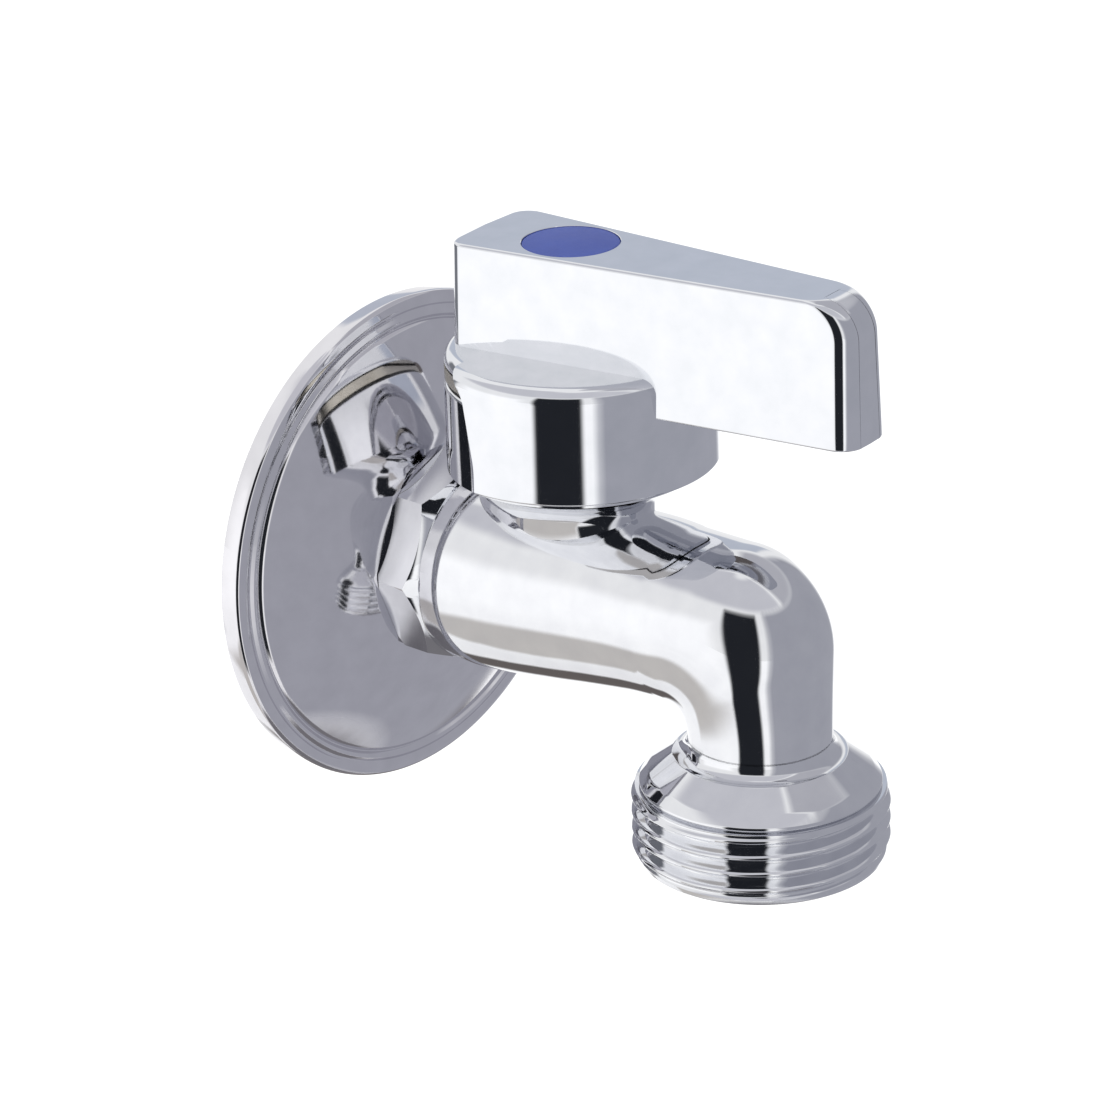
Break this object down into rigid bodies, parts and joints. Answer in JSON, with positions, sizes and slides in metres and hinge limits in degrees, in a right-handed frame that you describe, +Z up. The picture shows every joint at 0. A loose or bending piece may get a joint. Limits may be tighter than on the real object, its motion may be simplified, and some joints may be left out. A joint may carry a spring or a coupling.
{
  "type": "washing machine tap",
  "caption": "Wall-mounted washing machine tap with a quarter-turn lever, ceramic-disc headwork, domed wall flange and a threaded male hose outlet that points down.",
  "frame": {"origin": "on the inlet axis, in the plane of the wall where the flange's rim rests", "axes": "+Z up, +Y into the wall along the inlet tail, +X to the right for someone who faces the wall; the hose outlet points along -Z"},
  "size_m": [0.0538, 0.0758, 0.0646],
  "materials": {
    "chromed_brass": "mirror-polished chrome plate on cast brass",
    "chromed_sheet": "mirror-polished chrome plate on pressed sheet",
    "chromed_zinc": "mirror-polished chrome plate on die-cast zinc",
    "blue_plastic": "smooth moulded blue plastic",
    "nickelled_brass": "turned brass under dull nickel plate",
    "bare_brass": "turned brass",
    "white_ceramic": "lapped alumina",
    "black_rubber": "moulded nitrile rubber",
    "white_acetal": "turned acetal",
    "bright_steel": "bright stainless steel"
  },
  "bodies": {
    "root": {"tap_body": "chromed_brass", "wall_flange": "chromed_sheet", "headwork_housing": "nickelled_brass", "housing_gasket": "black_rubber", "seat_seal": "black_rubber", "seal_support_ring": "white_acetal", "fixed_ceramic_disc": "white_ceramic"},
    "lever": {"handle": "chromed_zinc", "handle_screw": "bright_steel", "screw_lock_washer": "bright_steel", "index_cap": "blue_plastic", "spindle": "bare_brass", "thrust_washer": "white_acetal", "lower_spindle_o_ring": "black_rubber", "upper_spindle_o_ring": "black_rubber", "spindle_circlip": "bright_steel", "moving_ceramic_disc": "white_ceramic"}
  },
  "joints": [
    {"name": "lever_turn", "type": "hinge", "parent": "root", "child": "lever", "pos_m": [0, -0.0257, 0], "axis": [0, 0, 1], "range_deg": [-90, 0]}
  ]
}
